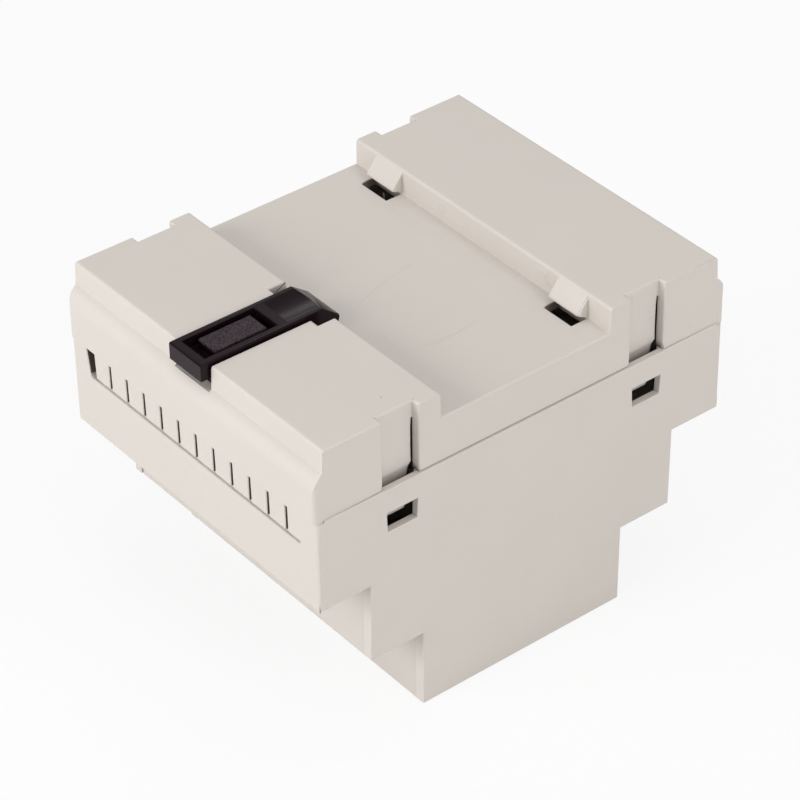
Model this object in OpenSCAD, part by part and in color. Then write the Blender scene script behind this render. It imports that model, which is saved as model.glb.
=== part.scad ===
// Empty four-module DIN rail enclosure, lying on its front face with the rail side up.
// X runs along the rail, Y across it, Z from the front face to the rail side.
// The clip end is -Y, the fixed hook end is +Y. The origin is under the middle of the front face.

/* [Body] */
// Width along the rail, four modules of 17.5
body_w = 70; // [69:0.5:72]
// Length across the rail, over the rims of the rear shell
body_l = 90; // [89.5:0.1:90.5]
// Height over the two rear blocks
body_h = 65.3; // [65:0.1:66]
// Wall thickness of both shells
wall = 2; // [1.8:0.1:2.2]

/* [Levels] */
// Height of the seam between the two shells
seam_z = 51.3; // [51:0.1:52]
// Height of the outer step, above the front face
outer_step_z = 32.7; // [32:0.1:33.5]
// Height of the inner step, above the front face
inner_step_z = 16.1; // [15.5:0.1:16.5]
// Length over the outer risers
outer_riser_l = 67.5; // [67:0.1:68]
// Length of the narrow front face
front_l = 45; // [44.8:0.1:45.2]

/* [Rail slot] */
// Width of the slot that takes the 35 mm rail
slot_w = 36.7; // [36.2:0.1:37]
// Depth of the rail slot below the rear blocks
slot_depth = 5; // [4.8:0.1:5.2]
// Length over the flat tops of the rear blocks
block_l = 85.6; // [85:0.1:86]

/* [Hooks] */
// Distance of each fixed hook from the middle
hook_x = 25.1; // [24:0.1:25.5]
// Width of each fixed hook
hook_w = 7.6; // [7:0.1:8]
// Reach of each hook over the rail
hook_reach = 1.9; // [1.6:0.1:2.2]

/* [Snap channels] */
// Nearest and furthest edge of each channel from the middle
channel_y = [23.1, 30.7];
// Depth of each channel in the side face
channel_depth = 1.6; // [1.5:0.1:1.8]

/* [Knock-outs] */
// Number of slits between the break-out tabs
slit_count = 11; // [9:1:11]
// Distance between neighbouring slits
slit_pitch = 5; // [4.9:0.05:5.05]
// Place of the first slit
slit_x = -23.4; // [-24:0.1:-23]
// Width of a slit
slit_w = 0.55; // [0.5:0.05:0.7]
// Height of the score line at the foot of the tabs
score_z = 44.75; // [44.5:0.05:45]

/* [Rail clip] */
// Width of the clip
clip_w = 8.8; // [8.6:0.1:9]
// Height of the clip's top above the rear blocks
clip_rise = 0.7; // [0.6:0.1:0.8]
// Furthest point of the clip's nose over the rail slot
nose_y = -15.9; // [-16.2:0.1:-15.7]
// Outer end of the clip's pull tab
tab_y = -44.65; // [-45:0.05:-44.4]

/* [Hidden] */
$fn = 48;
eps = 0.01;
over = 10;                           // how far a cutter runs past what it cuts

shell_grey = [0.84, 0.82, 0.79];
cover_grey = [0.82, 0.80, 0.77];
clip_black = [0.11, 0.09, 0.10];

rail_z = body_h - slot_depth;        // surface that the rail lies on
half_l = body_l / 2;
slot_y = slot_w / 2;
block_y = block_l / 2;
rim_drop = 0.4;                      // the rear shell's end rims reach this far below the seam
rim_z = seam_z - rim_drop;
base_side = body_w / 2 - 0.35;       // the rear shell's side faces stand in from the front shell's
end_step = 0.35;                     // the front shell's end walls stand in from the rims
side_draft = 0.8;                    // the front shell narrows by this on each side
end_draft = 0.3;
edge_r = 0.6;

shoulder_r = 4.7;
shoulder_z = 57;                     // height where the shoulder has turned into the end wall
shoulder_top = 60.75;
shoulder_y = half_l - 0.15;

channel_mid = (channel_y[0] + channel_y[1]) / 2;
channel_w = channel_y[1] - channel_y[0];
window_z = [42.4, 46.4];
window_w = 6.6;

guide_x = 6.9;                       // half width of the cavity that the clip's lugs slide in
slot_half = 4.85;                    // half width of the slot that the clip shows through
notch_y = -22.1;                     // the lugs enter through a notch from here to the rail slot
guide_wall = 1.5;
clip_top = body_h + clip_rise;
clip_half = clip_w / 2;
clip_gap = 0.2;
travel = 3.5;

lap = 0.4;                           // covers and panel lie this far under the rims round them
plate = 1.6;                         // thickness of a terminal cover

// Points of an arc about c, from angle a0 to a1
function arc(c, r, a0, a1, n = 6) =
    [for (i = [0:n]) c + r * [cos(a0 + (a1 - a0) * i / n), sin(a0 + (a1 - a0) * i / n)]];

// Mirrors a half outline, listed from the middle outwards, into a closed one
function both_ends(half) =
    concat(half, [for (i = [len(half) - 1:-1:0]) [-half[i][0], half[i][1]]]);

// Extrudes a (y, z) outline along X, centred
module along_x(w) {
    rotate([90, 0, 90]) translate([0, 0, -w / 2]) linear_extrude(w) children();
}

// Extrudes an (x, z) outline along Y, centred
module along_y(l) {
    translate([0, l / 2, 0]) rotate([90, 0, 0]) linear_extrude(l) children();
}

module block(x, y, z) {
    translate([x[0], y[0], z[0]]) cube([x[1] - x[0], y[1] - y[0], z[1] - z[0]]);
}

// Makes what is drawn at the +Y end at both ends, turned round
module at_both_ends() {
    for (turn = [0, 180]) rotate([0, 0, turn]) children();
}

module at_four_channels() {
    for (side = [0, 1], end = [-1, 1])
        mirror([side, 0, 0]) translate([0, end * channel_mid, 0]) children();
}

// ---- rear shell ----

// Half of the outer outline: rail slot floor, block, shoulder and end wall
function base_half() = concat(
    [[slot_y, rail_z]],
    arc([slot_y + 0.1 + edge_r, body_h - edge_r], edge_r, 180, 90, 3),
    arc([block_y - edge_r, body_h - edge_r], edge_r, 90, 0, 3),
    [[block_y + 0.2, shoulder_top]],
    arc([shoulder_y - shoulder_r, shoulder_z], shoulder_r, 52, 0, 8),
    [[half_l, seam_z], [half_l, rim_z]]);

// Half of the inside, open at the seam
function base_room_half() = [
    [slot_y + wall, rail_z - wall], [slot_y + wall, body_h - wall],
    [block_y - wall, body_h - wall], [block_y - wall, shoulder_top],
    [shoulder_y - wall, shoulder_z], [half_l - wall, seam_z], [half_l - wall, rim_z - over]];

module base_outside() {
    intersection() {
        along_x(2 * base_side) polygon(both_ends(base_half()));
        rounded_plan(base_side, half_l, 1, [rim_z - 1, body_h + 1]);
    }
}

// Upright block with rounded corners in plan
module rounded_plan(x, y, r, z) {
    translate([0, 0, z[0]]) linear_extrude(z[1] - z[0]) union() {
        square([2 * x, 2 * (y - r)], center = true);
        square([2 * (x - r), 2 * y], center = true);
        for (sx = [-1, 1], sy = [-1, 1]) translate([sx * (x - r), sy * (y - r)]) circle(r);
    }
}

// Wedge that holds the far edge of the rail, with its slanted underside
module hook() {
    translate([0, slot_y, 0]) along_x(hook_w) polygon([
        [0.1 + wall / 2, body_h - 0.8], [0, body_h - 0.8], [-hook_reach, rail_z + 1.65],
        [-hook_reach - 0.05, rail_z + 1.2], [0, rail_z + 0.35], [wall / 2, rail_z + 0.35]]);
}

// Opening in the slot floor under a hook, which the mould's core came through
module hook_hole() {
    block([-hook_w / 2 + 0.1, hook_w / 2 - 0.1], [15, slot_y + 0.02], [rail_z - wall - 1, rail_z + 1]);
}

// Springy arm that snaps behind the front shell's side wall, seen from the middle of its channel
arm_outer = [[base_side - channel_depth, body_h - wall], [base_side - channel_depth, 57],
             [32, seam_z - 0.3], [32, window_z[1] - 0.1], [33.7, window_z[1] - 0.1],
             [33.7, window_z[1] - 1.4], [32, window_z[0] + 0.6]];
arm_inner = [[30.6, window_z[0] + 0.6], [30.6, seam_z - 0.3], [31.5, 57], [31.5, body_h - wall]];

module snap_arm() {
    intersection() {
        along_y(channel_w) polygon(concat(arm_outer, arm_inner));
        rotate([90, 0, 90]) linear_extrude(over * 4) polygon([
            [-3.5, body_h], [3.5, body_h], [3.5, 60], [3.35, 55], [2.6, seam_z], [2.6, 40],
            [-2.6, 40], [-2.6, seam_z], [-3.35, 55], [-3.5, 60]]);
    }
}

module channel_cut() {
    block([base_side - channel_depth, base_side + 1], [-channel_w / 2, channel_w / 2], [0, body_h + 1]);
    block([base_side - wall - 1, base_side + 1], [-channel_w / 2, channel_w / 2], [0, body_h - wall - 1.5]);
}

// Solid ends that the channels sit in, so that each arm has a root
module channel_back() {
    block([base_side - wall - 1.2, base_side - channel_depth],
          [-channel_w / 2 - 1, channel_w / 2 + 1], [body_h - wall - 1.5, body_h - eps]);
}

module clip_guide_body() {
    block([-guide_x - guide_wall, guide_x + guide_wall], [-block_y + 0.4, -slot_y - 0.1],
          [rail_z - wall, body_h - wall + eps]);
}

module clip_guide_cut() {
    block([-guide_x, guide_x], [-block_y + wall, -slot_y + 1], [rail_z, body_h - wall]);
    block([-guide_x, guide_x], [notch_y, -slot_y + 1], [rail_z, body_h + 1]);
    block([-slot_half, slot_half], [-half_l - 1, -slot_y + 1], [rail_z, body_h + 1]);
    for (side = [-1, 1])
        translate([side * (guide_x + guide_wall / 2), 0, 0])
            block([-guide_wall, guide_wall], [-40.4, -34.9], [rail_z + 0.3, body_h - wall - 0.2]);
}

// Shelves inside the end walls that a circuit board would rest on
module board_shelves() {
    at_both_ends() for (x = [-22, 0, 22])
        block([x - 1.5, x + 1.5], [half_l - wall - 1.6, half_l - wall + 0.5], [53.5, 55]);
}

module rear_base() {
    color(shell_grey) difference() {
        union() {
            difference() {
                base_outside();
                along_x(2 * (base_side - wall)) polygon(both_ends(base_room_half()));
                block([-over * 5, over * 5], [-half_l + wall, half_l - wall], [rim_z - 1, seam_z]);
                at_four_channels() channel_cut();
            }
            intersection() {
                at_four_channels() channel_back();
                base_outside();
            }
            at_four_channels() snap_arm();
            clip_guide_body();
            board_shelves();
            for (side = [-1, 1]) translate([side * hook_x, 0, 0]) hook();
        }
        clip_guide_cut();
        for (side = [-1, 1]) translate([side * hook_x, 0, 0]) hook_hole();
    }
}

// ---- front shell ----

front_end = half_l - end_step;
front_end_low = front_end - end_draft;
outer_riser = outer_riser_l / 2;
inner_riser = front_l / 2;

function housing_half() = [
    [inner_riser, 0], [inner_riser, inner_step_z], [outer_riser, inner_step_z],
    [outer_riser, outer_step_z], [front_end_low, outer_step_z], [front_end, rim_z],
    [front_end, seam_z]];

// Outline at a height range, narrowing towards the front face
module drafted(half_top, z) {
    along_y(body_l + over) polygon([
        [-half_top + side_draft, z[0]], [half_top - side_draft, z[0]],
        [half_top, z[1]], [-half_top, z[1]]]);
}

module housing_outside() {
    intersection() {
        along_x(body_w + over) polygon(both_ends(housing_half()));
        drafted(body_w / 2, [0, seam_z]);
        rounded_plan(body_w / 2, front_end, 1.2, [-1, seam_z + 1]);
    }
}

// Bars across the shell that the covers and the panel bear on, as (y, z) boxes at the +Y end
bars = [
    [[front_end_low - wall, front_end_low - 0.05], [outer_step_z, outer_step_z + wall]],
    [[front_end_low - wall - 1, front_end_low - 0.5], [outer_step_z + wall, outer_step_z + wall + 1.2]],
    [[outer_riser - 3, outer_riser], [inner_step_z, inner_step_z + wall]],
    [[outer_riser - 4, outer_riser - wall], [inner_step_z + wall, inner_step_z + wall + 1.2]],
    [[inner_riser - 4, inner_riser], [0, wall]],
    [[inner_riser - 5.2, inner_riser - wall], [wall, wall + 1.2]]];

module cross_bars() {
    intersection() {
        at_both_ends() for (bar = bars) block([-body_w / 2, body_w / 2], bar[0], bar[1]);
        housing_outside();
    }
}

module snap_window() {
    rotate([90, 0, 90]) linear_extrude(over * 5) polygon([
        [-window_w / 2 + 0.2, window_z[0]], [window_w / 2 - 0.2, window_z[0]],
        [window_w / 2, window_z[1]], [-window_w / 2, window_z[1]]]);
}

// Break-out tabs: narrow slits, one wide tapered slot at the left, and a score line below
module knock_outs() {
    face = -front_end - 1;
    for (i = [0:slit_count - 1])
        block([slit_x + i * slit_pitch - slit_w / 2, slit_x + i * slit_pitch + slit_w / 2],
              [face, -front_end_low + wall + 1], [score_z, seam_z + 1]);
    translate([0, face, 0]) rotate([90, 0, 0]) mirror([0, 0, 1]) linear_extrude(wall + 3) polygon([
        [-30.7, seam_z + 1], [-28.1, seam_z + 1], [-27.95, score_z - 0.3], [-29.6, score_z - 0.3]]);
    block([-29.6, 30], [face, -front_end_low + 0.55], [score_z - 0.3, score_z + 0.3]);
}

// Upright guides on the side walls that hold the edge of a circuit board
module board_guides() {
    for (side = [0, 1], y = [-6.2, 4.6]) mirror([side, 0, 0])
        block([body_w / 2 - wall - 1.8, body_w / 2 - wall + 0.2], [y, y + 1.6], [24, seam_z - 3]);
}

module front_housing() {
    color(shell_grey) difference() {
        union() {
            difference() {
                housing_outside();
                intersection() {
                    along_x(body_w) polygon(concat(
                        [[-front_end_low + wall, outer_step_z - 1], [-front_end + wall, seam_z + 1],
                         [front_end - wall, seam_z + 1], [front_end_low - wall, outer_step_z - 1]],
                        [[outer_riser + 1, outer_step_z - 1], [outer_riser + 1, inner_step_z - 1],
                         [inner_riser + 1, inner_step_z - 1], [inner_riser + 1, -1],
                         [-inner_riser - 1, -1], [-inner_riser - 1, inner_step_z - 1],
                         [-outer_riser - 1, inner_step_z - 1], [-outer_riser - 1, outer_step_z - 1]]));
                    drafted_room();
                }
            }
            cross_bars();
            board_guides();
        }
        at_four_channels() snap_window();
        at_both_ends() knock_outs();
        // the end walls stop under the rear shell's rims
        for (side = [-1, 1])
            translate([0, side * half_l, (rim_z + seam_z) / 2 + 0.5])
                cube([body_w + 1, 2 * wall + 2 * end_step + 0.6, rim_drop + 1], center = true);
    }
}

module drafted_room() {
    along_y(body_l + over) polygon([
        [-body_w / 2 + wall + side_draft * (1 + 1 / seam_z), -1],
        [body_w / 2 - wall - side_draft * (1 + 1 / seam_z), -1],
        [body_w / 2 - wall + side_draft / seam_z, seam_z + 1],
        [-body_w / 2 + wall - side_draft / seam_z, seam_z + 1]]);
}

// ---- covers and panel ----

// L-shaped terminal cover at the +Y end: its tread and its riser meet at the step's inner corner
module step_cover(tread_y, riser_y, tread_z, foot_z, half_w) {
    color(cover_grey) along_x(2 * half_w) polygon([
        [tread_y, tread_z + lap], [tread_y, tread_z + lap + plate],
        [riser_y - lap - plate, tread_z + lap + plate], [riser_y - lap - plate, foot_z],
        [riser_y - lap, foot_z], [riser_y - lap, tread_z + lap]]);
}

module outer_cover() {
    step_cover(front_end_low - wall - 0.1, outer_riser, outer_step_z,
               inner_step_z + wall + 0.1, 32.2);
}

module inner_cover() {
    step_cover(outer_riser - 3.1, inner_riser, inner_step_z, wall + 0.1, 31.95);
}

module clip_side_outer_cover() { rotate([0, 0, 180]) outer_cover(); }
module clip_side_inner_cover() { rotate([0, 0, 180]) inner_cover(); }
module hook_side_outer_cover() { outer_cover(); }
module hook_side_inner_cover() { inner_cover(); }

// Snap-in plate in the narrow front face
module front_panel() {
    color(cover_grey) block([-31.9, 31.9], [-inner_riser + 4.1, inner_riser - 4.1], [lap, wall]);
}

// ---- rail clip ----

clip_low = rail_z + clip_gap;
tab_low = 62.65;
nose_top = 63.5;
nose_start = -19.3;
lug_y = [-26.2, -22.8];
lug_z = [60.7, 62.9];

module clip_bar() {
    along_x(clip_w) polygon([
        [tab_y, tab_low], [tab_y, clip_top - 0.3], [tab_y + 0.3, clip_top],
        [nose_start, clip_top], [nose_y, nose_top], [nose_y + 0.2, nose_top - 0.6],
        [nose_y - 0.1, rail_z + 1.4], [-slot_y - 0.4, rail_z + 1.4], [-slot_y - 0.4, clip_low],
        [-41.9, clip_low], [-41.9, tab_low]]);
}

module clip_pocket() {
    difference() {
        block([-3.3, 3.3], [-42.95, -27.9], [clip_top - 2.2, clip_top + 1]);
        block([-2.35, 2.35], [-40.1, -29.5], [clip_top - 3, clip_top - 0.25]);
    }
}

// Shallow trough for the thumb, along the clip's smooth part
module clip_dish() {
    translate([0, 0, clip_top + 16.6]) rotate([90, 0, 0])
        translate([0, 0, 10]) cylinder(r = 17, h = 16, $fn = 120);
}

module clip_leg() {
    block([clip_half - 1, 6.5], lug_y, lug_z);
    block([5.3, 6.1], [-36.8, lug_y[0] + 1], [lug_z[0] + 0.2, lug_z[1] - 0.2]);
    block([5.3, 7.7], [-36.8, -35.1], [lug_z[0] + 0.2, lug_z[1] - 0.2]);
}

module rail_clip() {
    color(clip_black) {
        difference() {
            clip_bar();
            clip_pocket();
            clip_dish();
        }
        for (side = [0, 1]) mirror([side, 0, 0]) clip_leg();
    }
}

rear_base();
front_housing();
front_panel();
clip_side_outer_cover();
clip_side_inner_cover();
hook_side_outer_cover();
hook_side_inner_cover();
rail_clip();
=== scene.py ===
import math

import bmesh
import bpy
import numpy as np
from mathutils import Matrix, Vector


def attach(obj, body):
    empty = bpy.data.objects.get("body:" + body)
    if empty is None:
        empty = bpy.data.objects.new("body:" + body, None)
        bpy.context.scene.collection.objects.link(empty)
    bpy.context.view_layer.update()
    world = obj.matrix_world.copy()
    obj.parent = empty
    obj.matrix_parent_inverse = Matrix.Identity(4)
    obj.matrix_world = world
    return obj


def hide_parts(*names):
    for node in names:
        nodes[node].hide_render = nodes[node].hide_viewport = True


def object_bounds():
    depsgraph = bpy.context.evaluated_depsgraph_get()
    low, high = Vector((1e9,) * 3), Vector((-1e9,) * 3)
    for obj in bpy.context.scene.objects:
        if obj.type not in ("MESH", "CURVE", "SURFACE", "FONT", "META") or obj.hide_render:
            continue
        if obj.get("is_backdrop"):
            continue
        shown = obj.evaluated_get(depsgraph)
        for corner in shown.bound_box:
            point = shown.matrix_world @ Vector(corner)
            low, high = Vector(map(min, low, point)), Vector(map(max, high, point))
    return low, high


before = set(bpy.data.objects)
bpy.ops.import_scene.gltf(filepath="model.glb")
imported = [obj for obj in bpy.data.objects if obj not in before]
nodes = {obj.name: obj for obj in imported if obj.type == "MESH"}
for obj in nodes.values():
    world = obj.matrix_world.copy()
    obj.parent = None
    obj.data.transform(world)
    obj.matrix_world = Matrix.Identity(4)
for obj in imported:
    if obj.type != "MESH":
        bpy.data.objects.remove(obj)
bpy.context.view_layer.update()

# Empty four-module rail housing, lying on its front face. Metres; X along the rail, Z up to the rail side.
mm = 0.001
seamLevel = 51.3 * mm      # where the two shells meet at the sides


def link(obj):
    bpy.context.scene.collection.objects.link(obj)


cameraView = {
    "azimuth": 51.3856, "elevation": 36.6607, "roll": -0.6619,   # degrees
    "lookAt": (0, 0, 29 * mm), "distance": 608.616 * mm,
    "slide": (3.9647 * mm, 4.9715 * mm),     # sideways and upwards, across the view
    "lens": 154.23, "sensor": 36, "shift": (-0.0266, 0.0006), "clip": (0.01, 20),
}


# back points from the object to the camera; right and up are turned about it by the roll
def makeCamera(view):
    az, el, roll = (math.radians(view[k]) for k in ("azimuth", "elevation", "roll"))
    back = Vector((math.cos(el) * math.sin(az), -math.cos(el) * math.cos(az), math.sin(el)))
    right = Vector((0, 0, 1)).cross(back).normalized()
    up = back.cross(right)
    rightRolled = right * math.cos(roll) + up * math.sin(roll)
    upRolled = up * math.cos(roll) - right * math.sin(roll)
    place = (Vector(view["lookAt"]) + back * view["distance"]
             + rightRolled * view["slide"][0] + upRolled * view["slide"][1])
    data = bpy.data.cameras.new("camera")
    data.lens, data.sensor_width = view["lens"], view["sensor"]
    data.shift_x, data.shift_y = view["shift"]
    data.clip_start, data.clip_end = view["clip"]
    camera = bpy.data.objects.new("camera", data)
    link(camera)
    turn = Matrix((rightRolled, upRolled, back)).transposed().to_4x4()
    camera.matrix_world = Matrix.Translation(place) @ turn
    bpy.context.scene.camera = camera


makeCamera(cameraView)
print("camera set")


# a value in a shader; + - * / between these and numbers add Math nodes
class Sock:
    def __init__(self, shader, out):
        self.shader, self.out = shader, out

    def op(self, kind, *rest):
        return self.shader.node("ShaderNodeMath", {"operation": kind}, dict(enumerate((self, *rest))))

    def rop(self, kind, other):
        return self.shader.node("ShaderNodeMath", {"operation": kind}, {0: other, 1: self})

    def __add__(self, b): return self.op("ADD", b)
    def __radd__(self, b): return self.rop("ADD", b)
    def __sub__(self, b): return self.op("SUBTRACT", b)
    def __rsub__(self, b): return self.rop("SUBTRACT", b)
    def __mul__(self, b): return self.op("MULTIPLY", b)
    def __rmul__(self, b): return self.rop("MULTIPLY", b)
    def __truediv__(self, b): return self.op("DIVIDE", b)


# the node tree of a material or a world
class Shader:
    def __init__(self, owner):
        owner.use_nodes = True
        self.owner, self.tree = owner, owner.node_tree
        self.tree.nodes.clear()

    # adds one node: settings first, then the values or links of its sockets
    def node(self, kind, settings=None, inputs=None, out=0):
        n = self.tree.nodes.new(kind)
        for key, value in (settings or {}).items():
            setattr(n, key, value)
        for key, value in (inputs or {}).items():
            if isinstance(value, Sock):
                self.tree.links.new(value.out, n.inputs[key])
            else:
                n.inputs[key].default_value = value
        return Sock(self, n.outputs[out])

    # the point on the object, whole and as its three coordinates
    def place(self):
        where = self.node("ShaderNodeTexCoord", out="Object")
        split = self.node("ShaderNodeSeparateXYZ", {}, {0: where})
        return (where, *(Sock(self, out) for out in split.out.node.outputs))

    def mix(self, share, first, second):
        return self.node("ShaderNodeMix", {"data_type": "RGBA"}, {0: share, 6: first, 7: second}, out=2)

    def noise(self, where, scale, detail, **more):
        return self.node("ShaderNodeTexNoise", {}, {"Vector": where, "Scale": scale, "Detail": detail, **more})

    def finish(self, shader, end="ShaderNodeOutputMaterial"):
        self.tree.links.new(shader.out, self.tree.nodes.new(end).inputs["Surface"])
        return self.owner


# 1 where a value lies between two limits
def within(value, low, high):
    return value.op("GREATER_THAN", low) * (high - value).op("GREATER_THAN", 0)


# 1 inside a box, given as a range in mm along each axis
def inBox(point, box):
    inside = 1
    for value, (low, high) in zip(point, box):
        inside = within(value, low * mm, high * mm) * inside
    return inside


def clamped(value):
    return value.op("MAXIMUM", 0).op("MINIMUM", 1)


# 1 on a thin arc: 1 less the distance from the circle over the line's width
def arcMark(a, b, centre, radius, width, aRange, bRange):
    far = ((a - centre[0]) * (a - centre[0]) + (b - centre[1]) * (b - centre[1])).op("SQRT")
    line = (1 - (far - radius).op("ABSOLUTE") / width).op("MAXIMUM", 0)
    return line * within(a, *aRange) * within(b, *bRange)


# what use and moulding left on the rear shell, mm; an arc is centre, radius, width and a range along each axis
wear = {
    "floor": {"plane": (60.2, 60.4), "strength": 0.4, "arcs": [
        ((-31.2, -1.4), 49.0, 0.16, (10, 25), (-7.9, 1.2)),
        ((-13.4, -4.6), 31.6, 0.12, (10, 25), (-6.5, 3.4)),
        ((41.0, 9.0), 44.0, 0.12, (-6, 8), (-9.0, 6.0))]},
    "face": {"plane": (18.2, 18.6), "strength": 0.55, "arcs": [
        ((18.6, 62.7), 0.95, 0.13, (17.2, 19.4), (61.2, 64.2)),
        ((19.9, 63.2), 1.5, 0.12, (18.1, 21.2), (61.5, 64.4)),
        ((16.2, 60.4), 2.9, 0.12, (15.5, 19.3), (61.4, 64.0)),
        ((-10.2, 62.6), 0.8, 0.12, (-11.4, -9.1), (61.5, 63.7))]},
    "speck": {"plane": (65.2, 65.5), "centre": (29.3, -26.6), "radius": 0.2, "core": 1.6, "fall": 1.2},
}


# 0 where the shell is clean, up to 1 on its marks; the speck fades from its core with the distance
def shellMarks(x, y, z):
    mx, my, mz = x / mm, y / mm, z / mm
    speck = wear["speck"]
    dx, dy = mx - speck["centre"][0], my - speck["centre"][1]
    far = (dx * dx + dy * dy).op("SQRT")
    marks = clamped(speck["core"] - far * (speck["fall"] / speck["radius"])) * within(mz, *speck["plane"])
    for side, a, b, across in ((wear["floor"], mx, my, mz), (wear["face"], mx, mz, my)):
        for arc in side["arcs"]:
            mark = arcMark(a, b, *arc) * within(across, *side["plane"]) * side["strength"]
            marks = marks.op("MAXIMUM", mark)
    return marks


shellLook = {
    "cloudScale": 60, "grainScale": 2500, "grainDepth": 0.02 * mm,
    "cloudTone": 0.05, "grainTone": 0.06, "cloudRoughness": 0.12, "grainRoughness": 0.2,
    # painted brown shade inside the slits of the break-out tabs and the holes under the hooks, where little
    # light reaches: x, y and z, mm
    "slits": ((-1, 31.4), (42, 44.4), (45.15, 50.8)),
    "hookHoles": ((21, 29.2), (14.6, 18.7), (50, 60.1)), "holeShadeShare": 0.75,
    "paintedShade": (0.13, 0.09, 0.075, 1), "worn": (0.30, 0.22, 0.17, 1), "wornShare": 0.5,
}


# moulded plastic: colour times a tone near 1, from large soft clouds and a fine grain, with painted shade mixed
# in over the slits and the holes under the hooks
def plastic(name, colour, roughness, marked=False):
    look = shellLook
    m = Shader(bpy.data.materials.new(name))
    where, x, y, z = m.place()
    cloud = m.noise(where, look["cloudScale"], 3) - 0.5
    grain = m.noise(where, look["grainScale"], 4, Roughness=0.6)
    tone = cloud * look["cloudTone"] + (grain - 0.5) * look["grainTone"] + 1
    # where the painted shade goes: fully in the slits, at a share in the holes under the hooks
    holeShade = inBox((x.op("ABSOLUTE"), y, z), look["hookHoles"]) * look["holeShadeShare"]
    inside = inBox((x.op("ABSOLUTE"), y.op("ABSOLUTE"), z), look["slits"]).op("MAXIMUM", holeShade)
    tinted = m.node("ShaderNodeVectorMath", {"operation": "SCALE"}, {0: colour, "Scale": tone})
    # painted shade: the colour turns dark brown in those recesses
    tinted = m.mix(inside, tinted, look["paintedShade"])
    if marked:
        tinted = m.mix(shellMarks(x, y, z) * look["wornShare"], tinted, look["worn"])
    rough = cloud * look["cloudRoughness"] + (grain - 0.5) * look["grainRoughness"] + roughness
    bump = m.node("ShaderNodeBump", {}, {"Height": grain, "Distance": look["grainDepth"], "Strength": 1.0})
    return m.finish(m.node("ShaderNodeBsdfPrincipled", {}, {
        "Base Color": tinted, "Roughness": rough, "Normal": bump}))


shellPlastic = plastic("shellPlastic", (0.62, 0.575, 0.53), 0.5)
rearPlastic = plastic("rearPlastic", (0.62, 0.575, 0.53), 0.5, marked=True)
coverPlastic = plastic("coverPlastic", (0.61, 0.565, 0.52), 0.52)

clipLook = {
    "pad": ((-1, 2.36), (-40.12, -29.48), (65.2, 100)),     # its raised face: x, y and z, mm
    "polished": (0.0082, 0.0036, 0.0052, 1), "padColour": (0.066, 0.05, 0.058, 1),
    "tint": (1.0, 0.84, 0.88, 1), "specular": 0.16, "roughness": 0.2, "padRoughness": 0.33,
    "grainScale": 3600, "sparkScale": 3000, "satinScale": 900, "satin": 0.06, "satinRoughness": 0.08,
    "pitFrom": 0.42, "pitSlope": 5, "pitShare": 0.8, "depth": 0.08 * mm, "strength": 0.8,
}


# black moulding: polished all over but for the spark-eroded pad in the pocket
def clipFinish(look):
    m = Shader(bpy.data.materials.new("clipPlastic"))
    where, x, y, z = m.place()
    onPad = inBox((x.op("ABSOLUTE"), y, z), look["pad"])
    grain = m.noise(where, look["grainScale"], 2, Roughness=0.7)
    satin = m.noise(where, look["satinScale"], 3)
    spark = m.node("ShaderNodeTexVoronoi", {}, {
        "Vector": where, "Scale": look["sparkScale"], "Randomness": 1.0}, out="Distance")
    pits = clamped((grain - look["pitFrom"]) * look["pitSlope"])
    eroded = onPad * (pits * look["pitShare"] + (1 - look["pitShare"]))
    height = onPad * (grain + spark) * 0.6 + satin * (look["satin"] - onPad * look["satin"])
    bump = m.node("ShaderNodeBump", {}, {
        "Height": height, "Distance": look["depth"], "Strength": look["strength"]})
    return m.finish(m.node("ShaderNodeBsdfPrincipled", {}, {
        "Base Color": m.mix(eroded, look["polished"], look["padColour"]),
        "Specular Tint": look["tint"], "Specular IOR Level": look["specular"],
        "Roughness": onPad * look["padRoughness"] + satin * look["satinRoughness"] + look["roughness"],
        "Normal": bump}))


clipPlastic = clipFinish(clipLook)
print("materials made")


# opens a mesh, runs one change on it and writes it back
def edited(mesh, change):
    bm = bmesh.new()
    bm.from_mesh(mesh)
    change(bm)
    bm.to_mesh(mesh)
    bm.free()
    return mesh


def mergedMesh(mesh):
    def merge(bm):
        bmesh.ops.remove_doubles(bm, verts=bm.verts, dist=0.002 * mm)
        bmesh.ops.dissolve_limit(bm, angle_limit=math.radians(0.1), use_dissolve_boundaries=False,
                                 verts=bm.verts, edges=bm.edges)
    return edited(mesh, merge)


def moveVertices(mesh, change):
    co = np.zeros(len(mesh.vertices) * 3)
    mesh.vertices.foreach_get("co", co)
    mesh.vertices.foreach_set("co", change(co.reshape(-1, 3)).ravel())
    mesh.update()


# closed boxes in one mesh: a corner is the low point plus the size times the bits of its number
def boxesMesh(name, boxes):
    corner = np.array([(i & 1, i >> 1 & 1, i >> 2 & 1) for i in range(8)])
    quad = np.array([(0, 2, 3, 1), (4, 5, 7, 6), (0, 1, 5, 4), (2, 6, 7, 3), (0, 4, 6, 2), (1, 3, 7, 5)])
    low, high = np.sort(boxes, axis=1).transpose(1, 0, 2)
    points = low[:, None] + corner[None] * (high - low)[:, None]
    faces = quad[None] + 8 * np.arange(len(boxes))[:, None, None]
    mesh = bpy.data.meshes.new(name)
    mesh.from_pydata(points.reshape(-1, 3).tolist(), [], faces.reshape(-1, 4).tolist())
    return edited(mesh, lambda bm: bmesh.ops.recalc_face_normals(bm, faces=bm.faces))


# takes boxes away from a mesh and returns the new mesh
def cutAway(mesh, boxes):
    body = bpy.data.objects.new("body", mesh)
    tool = bpy.data.objects.new("tool", boxesMesh("tool", boxes))
    link(body)
    link(tool)
    cut = body.modifiers.new("cut", "BOOLEAN")
    cut.operation, cut.solver, cut.object = "DIFFERENCE", "EXACT", tool
    graph = bpy.context.evaluated_depsgraph_get()
    result = bpy.data.meshes.new_from_object(body.evaluated_get(graph))
    for obj in (body, tool):
        bpy.data.objects.remove(obj)
    return mergedMesh(result)


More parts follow.
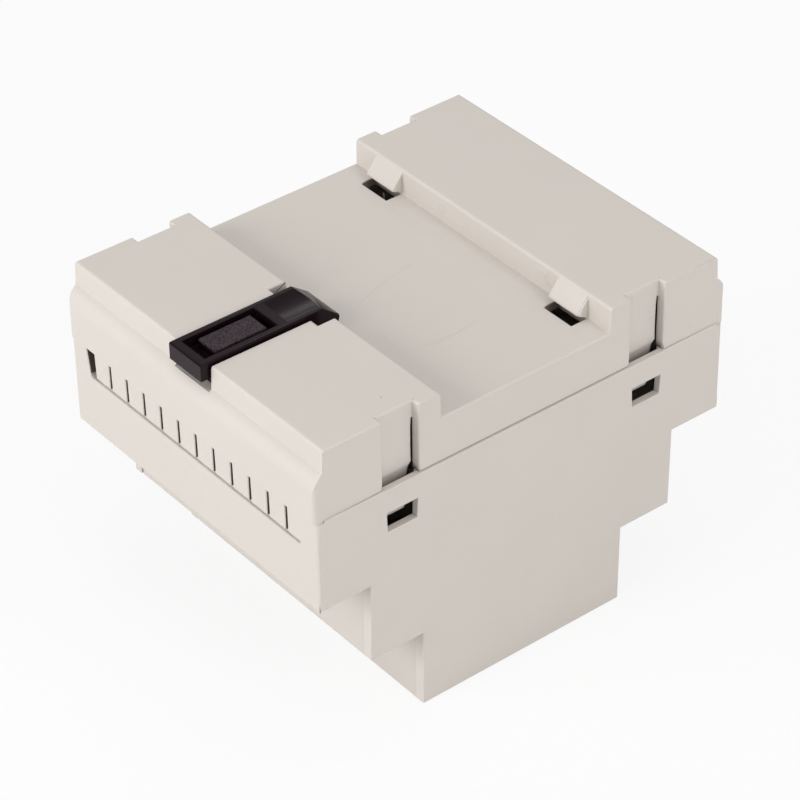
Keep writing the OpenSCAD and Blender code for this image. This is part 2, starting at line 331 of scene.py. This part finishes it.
snapArms = {
    "middle": 26.9 * mm, "halfChannel": 3.8 * mm, "reach": 3.6 * mm,      # along Y
    "toPlusY": 3.45 * mm, "toMinusY": 3.85 * mm,              # an arm's own sides, from its middle
    "x": (30.4 * mm, 33.9 * mm), "top": 60.1 * mm, "sidesFrom": 50.7 * mm,
    "straightTo": 52.9 * mm, "outerFrom": 32.2 * mm, "face": 33.05 * mm,
    "catchFrom": 33.5 * mm, "catch": 32.5 * mm, "near": 0.05 * mm,
}
# what is cut from the side walls round each arm: x and z
wallPockets = [((32.6 * mm, 33.85 * mm), (47.6 * mm, 52 * mm)),
               ((32.6 * mm, 33.45 * mm), (41.2 * mm, 47.65 * mm))]


# the arms stay straight nearly to the seam and then lean in; their side slits keep one width
def straightenArms(co, arm):
    x, y, z = np.abs(co[:, 0]), np.abs(co[:, 1]), co[:, 2]
    off = np.abs(y - arm["middle"])
    onArm = (x > arm["x"][0]) & (x < arm["x"][1]) & (off < arm["reach"]) & (z < arm["top"])
    side = np.sign(y - arm["middle"]) * np.sign(co[:, 1])
    half = np.where(side > 0, arm["toPlusY"], arm["toMinusY"])
    co[:, 1] = np.where(onArm & (z > arm["sidesFrom"]),
                        np.sign(co[:, 1]) * arm["middle"] + side * half, co[:, 1])
    outer = onArm & (x > arm["outerFrom"]) & (z > arm["straightTo"] - arm["near"])
    co[:, 0] = np.where(outer, np.sign(co[:, 0]) * arm["face"], co[:, 0])
    co[:, 0] = np.where(onArm & (x > arm["catchFrom"]), np.sign(co[:, 0]) * arm["catch"], co[:, 0])
    return co


# cuts every face at one level, so that the arms can bend there
def cutAtLevel(mesh, level):
    return edited(mesh, lambda bm: bmesh.ops.bisect_plane(
        bm, geom=bm.verts[:] + bm.edges[:] + bm.faces[:], dist=1e-7,
        plane_co=(0, 0, level), plane_no=(0, 0, 1)))


def pocketBoxes(pocket, arm):
    (x0, x1), (z0, z1) = pocket
    y0, y1 = arm["middle"] - arm["halfChannel"], arm["middle"] + arm["halfChannel"]
    return [((sx * x0, sy * y0, z0), (sx * x1, sy * y1, z1)) for sx in (-1, 1) for sy in (-1, 1)]


covers = {
    "wall": 33 * mm, "taper": 0.8 * mm, "clearance": 0.025 * mm, "outwards": 0.22 * mm, "near": 0.05 * mm,
    # foot's level now and after, riser's and tread's faces, and the bar cut away under the foot: y and z
    "outer": {"foot": (18.2 * mm, 16.3 * mm), "riser": 33.35 * mm, "tread": 33.1 * mm,
              "bar": ((31.72 * mm, 34.2 * mm), (15.9 * mm, 18.32 * mm))},
    "inner": {"foot": (2.1 * mm, 0.03 * mm), "riser": 22.1 * mm, "tread": 16.5 * mm,
              "bar": ((20.47 * mm, 22.9 * mm), (-0.5 * mm, 2.05 * mm))},
}


# half the room between the side walls: the wall's place at the seam, less the taper's share below it
def roomHalf(z):
    return covers["wall"] - covers["taper"] * (1 - z / seamLevel)


# a terminal cover reaches the side walls, and its foot the level of the next step
def fitCover(co, cover):
    near, outwards = covers["near"], covers["outwards"]
    onRiser = np.abs(np.abs(co[:, 1]) - cover["riser"]) < near
    co[:, 1] = np.where(onRiser, co[:, 1] + np.sign(co[:, 1]) * outwards, co[:, 1])
    co[:, 2] = np.where(np.abs(co[:, 2] - cover["tread"]) < near, cover["tread"] - outwards, co[:, 2])
    co[:, 2] = np.where(np.abs(co[:, 2] - cover["foot"][0]) < near, cover["foot"][1], co[:, 2])
    co[:, 0] = np.sign(co[:, 0]) * (roomHalf(co[:, 2]) - covers["clearance"])
    return co


def barBoxes(bar):
    (y0, y1), (z0, z1) = bar
    half = roomHalf((z0 + z1) / 2)
    return [((-half, s * y0, z0), (half, s * y1, z1)) for s in (-1, 1)]


endRims = {"from": 42.35 * mm, "to": 42.97 * mm, "near": 0.06 * mm, "above": 50.8 * mm}


# the end walls' upper rims close up to the rear shell's rims at the corners
def closeCorners(co):
    gap = (np.abs(np.abs(co[:, 1]) - endRims["from"]) < endRims["near"]) & (co[:, 2] > endRims["above"])
    co[:, 1] = np.where(gap, np.sign(co[:, 1]) * endRims["to"], co[:, 1])
    return co


clipRadius = 0.14 * mm
edgeRules = {
    "sharp": 38, "smooth": 32,       # degrees between the faces
    "share": 0.42,                   # how much of a narrow face its rounding may take
    "windowRadius": 0.12 * mm,
    # where edges keep their own form: x, y and z, mm
    "shoulder": ((-1, 99), (42.2, 99), (50, 99)),
    "armPocket": ((32.5, 34.2), (22.9, 30.9), (46.7, 52)),
    "guide": ((-1, 9), (-43, -18), (-1, 65)),
    "window": ((30, 99), (22.9, 30.9), (42, 46.6)),
}


def isIn(point, box):
    return all(low * mm < value < high * mm for value, (low, high) in zip(point, box))


# shortest distance between the segment p0-p1 and each of q0-q1, from samples along the first
def gapBetween(p0, p1, q0, q1):
    t = np.linspace(0.02, 0.98, 25)[:, None, None]
    points = p0 * (1 - t) + p1 * t
    along = q1 - q0
    s = np.clip(((points - q0) * along).sum(2) / np.maximum((along ** 2).sum(1), 1e-18), 0, 1)
    return np.sqrt(((points - q0 - s[..., None] * along) ** 2).sum(2)).min(0)


# each sharp edge's width is the radius, or less where the faces beside it are narrow
def edgeWidths(bm, radius, rules):
    widths = {}
    ends = {e.index: (np.array(e.verts[0].co), np.array(e.verts[1].co)) for e in bm.edges}
    for edge in bm.edges:
        if len(edge.link_faces) != 2 or abs(edge.calc_face_angle(0)) < math.radians(rules["sharp"]):
            continue
        x, y, z = (ends[edge.index][0] + ends[edge.index][1]) / 2
        folded = (abs(x), abs(y), z)
        if isIn(folded, rules["shoulder"]) or isIn(folded, rules["armPocket"]):
            continue
        if isIn((abs(x), y, z), rules["guide"]) and radius > clipRadius:      # the clip runs free in it
            continue
        room = rules["windowRadius"] if isIn(folded, rules["window"]) else radius
        for face in edge.link_faces:
            others = [o for o in face.edges if not set(o.verts) & set(edge.verts)]
            if others:
                q0, q1 = (np.array([ends[o.index][i] for o in others]) for i in (0, 1))
                room = min(room, gapBetween(*ends[edge.index], q0, q1).min() * rules["share"])
            for o in face.edges:
                shared = set(o.verts) & set(edge.verts)
                if o is not edge and shared:
                    corner = shared.pop()
                    a = o.other_vert(corner).co - corner.co
                    b = edge.other_vert(corner).co - corner.co
                    turn = math.sin(a.angle(b, 0))
                    if turn > 0.5:
                        room = min(room, a.length * turn * rules["share"])
        widths[edge.index] = room
    return widths


# writes each sharp edge's width as its bevel weight and marks which edges are shaded smooth
def weighEdges(bm, radius, rules):
    bm.normal_update()
    bm.edges.ensure_lookup_table()
    bm.edges.index_update()
    widths = edgeWidths(bm, radius, rules)
    layer = bm.edges.layers.float.new("bevel_weight_edge")
    for index, width in widths.items():
        bm.edges[index][layer] = width / radius
    for edge in bm.edges:
        edge.smooth = edge.index in widths or abs(edge.calc_face_angle(0)) < math.radians(rules["smooth"])
    for face in bm.faces:
        face.smooth = True


coverSpec = {"radius": 0.3 * mm, "skin": coverPlastic, "slot": "cover_plastic"}
moulded = {
    "rear_base": {"name": "rearShell", "radius": 0.4 * mm, "skin": rearPlastic, "slot": "shell_plastic"},
    "front_housing": {"name": "frontShell", "radius": 0.32 * mm, "skin": shellPlastic, "slot": "shell_plastic"},
    "front_panel": {"name": "frontPlate", **coverSpec},
    "clip_side_outer_cover": {"name": "clipEndOuterCover", **coverSpec},
    "clip_side_inner_cover": {"name": "clipEndInnerCover", **coverSpec},
    "hook_side_outer_cover": {"name": "hookEndOuterCover", **coverSpec},
    "hook_side_inner_cover": {"name": "hookEndInnerCover", **coverSpec},
    "rail_clip": {"name": "lockingClip", "radius": clipRadius, "skin": clipPlastic, "slot": "clip_plastic"},
}


def roundedCopy(node, spec):
    mesh = mergedMesh(nodes[node].data.copy())
    if node == "rear_base":
        cutAtLevel(mesh, snapArms["straightTo"])
        moveVertices(mesh, lambda co: straightenArms(co, snapArms))
    if node.endswith("cover"):
        moveVertices(mesh, lambda co: fitCover(co, covers["outer" if "outer" in node else "inner"]))
    if node == "front_housing":
        moveVertices(mesh, closeCorners)
        for pocket in wallPockets:
            mesh = cutAway(mesh, pocketBoxes(pocket, snapArms))
        for name in ("outer", "inner"):
            mesh = cutAway(mesh, barBoxes(covers[name]["bar"]))
    mesh.name = spec["name"]
    edited(mesh, lambda bm: weighEdges(bm, spec["radius"], edgeRules))
    mesh.materials.clear()
    mesh.materials.append(spec["skin"])
    piece = bpy.data.objects.new(spec["name"], mesh)
    link(piece)
    bevel = piece.modifiers.new("roundedEdges", "BEVEL")
    bevel.limit_method, bevel.width, bevel.segments = "WEIGHT", spec["radius"], 3
    bevel.use_clamp_overlap, bevel.harden_normals = False, False
    flatten = piece.modifiers.new("flatFaces", "WEIGHTED_NORMAL")
    flatten.keep_sharp, flatten.weight = True, 100
    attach(piece, "clip" if node == "rail_clip" else "enclosure")
    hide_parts(node)


for node, spec in moulded.items():
    roundedCopy(node, spec)
print("moulded pieces made")

hooks = {
    "middles": (-25.0 * mm, 24.9 * mm), "halfWidth": 3.75 * mm, "radius": 0.22 * mm, "sharp": 30,
    # section across the rail as (y, z), mm: nose, slope up to the block's top edge, root, slanted underside
    "section": [(16.12, 61.55), (16.16, 62.05), (18.55, 65.06), (18.95, 65.2),
                (19.2, 64.6), (19.2, 61.2), (18.3, 60.62)],
}


# the section swept along X to both sides of the hook's middle and closed with its two ends
def makeHook(name, middle, spec):
    section = np.array(spec["section"]) * mm
    count = len(section)
    points = np.empty((2, count, 3))
    points[:, :, 0] = middle + np.array([-1, 1])[:, None] * spec["halfWidth"]
    points[:, :, 1:] = section
    i = np.arange(count)
    sides = np.stack([i, (i + 1) % count, (i + 1) % count + count, i + count], 1)
    mesh = bpy.data.meshes.new(name)
    mesh.from_pydata(points.reshape(-1, 3).tolist(), [],
                     sides.tolist() + [i[::-1].tolist(), (i + count).tolist()])
    edited(mesh, lambda bm: bmesh.ops.recalc_face_normals(bm, faces=bm.faces))
    mesh.polygons.foreach_set("use_smooth", [True] * len(mesh.polygons))
    mesh.materials.append(rearPlastic)
    piece = bpy.data.objects.new(name, mesh)
    link(piece)
    bevel = piece.modifiers.new("roundedEdges", "BEVEL")
    bevel.width, bevel.segments, bevel.angle_limit = spec["radius"], 3, math.radians(spec["sharp"])
    flatten = piece.modifiers.new("flatFaces", "WEIGHTED_NORMAL")
    flatten.weight = 100
    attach(piece, "enclosure")


for name, middle in zip(("leftHook", "rightHook"), hooks["middles"]):
    makeHook(name, middle, hooks)
print("hooks made")

stage = {"floor": 3.0, "gap": 0.05 * mm, "floorTone": 0.82, "glow": 0.85, "worldLight": 0.50, "worldSeen": 1.0}


# white paper under the part, which glows towards the camera, in a white room
def makeStage(sizes):
    half = sizes["floor"] / 2
    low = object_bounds()[0][2] - sizes["gap"]
    mesh = bpy.data.meshes.new("floor")
    corners = [(-half, -half, low), (half, -half, low), (half, half, low), (-half, half, low)]
    mesh.from_pydata(corners, [], [(0, 1, 2, 3)])
    floor = bpy.data.objects.new("floor", mesh)
    link(floor)
    floor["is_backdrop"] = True
    m = Shader(bpy.data.materials.new("floorPaper"))
    lit = m.node("ShaderNodeBsdfDiffuse", {}, {"Color": (*[sizes["floorTone"]] * 3, 1)})
    white = m.node("ShaderNodeEmission", {}, {"Color": (1, 1, 1, 1), "Strength": 1.0})
    seen = m.node("ShaderNodeLightPath", out="Is Camera Ray")
    paper = m.node("ShaderNodeMixShader", {}, {0: seen * sizes["glow"], 1: lit, 2: white})
    mesh.materials.append(m.finish(paper))

    world = bpy.data.worlds.new("studio")
    bpy.context.scene.world = world
    w = Shader(world)
    seen = w.node("ShaderNodeLightPath", out="Is Camera Ray")
    soft = w.node("ShaderNodeBackground", {}, {"Color": (1, 1, 1, 1), "Strength": sizes["worldLight"]})
    bright = w.node("ShaderNodeBackground", {}, {"Strength": sizes["worldSeen"]})
    w.finish(w.node("ShaderNodeMixShader", {}, {0: seen, 1: soft, 2: bright}), "ShaderNodeOutputWorld")


lampAim = (0, 0, 30 * mm)
lamps = {
    "key": {"place": (-0.15, -0.8, 0.34), "size": 0.5, "watts": 4.6},
    "top": {"place": (0.1, 0.1, 0.9), "size": 0.6, "watts": 1.5},
    "side": {"place": (0.85, 0.1, 0.5), "size": 0.5, "watts": 3.1},
    "glint": {"place": (-0.576, 0.40, 0.384), "size": 0.09, "watts": 0.13},
}


def makeLamp(name, lamp):
    data = bpy.data.lights.new(name, "AREA")
    data.shape, data.size, data.energy = "SQUARE", lamp["size"], lamp["watts"]
    obj = bpy.data.objects.new(name, data)
    link(obj)
    obj.location = lamp["place"]
    aim = Vector(lampAim) - Vector(lamp["place"])
    obj.rotation_euler = aim.to_track_quat("-Z", "Y").to_euler()


makeStage(stage)
for name, lamp in lamps.items():
    makeLamp(name, lamp)
bpy.context.scene.view_settings.view_transform = "Standard"
print("stage and lamps set")
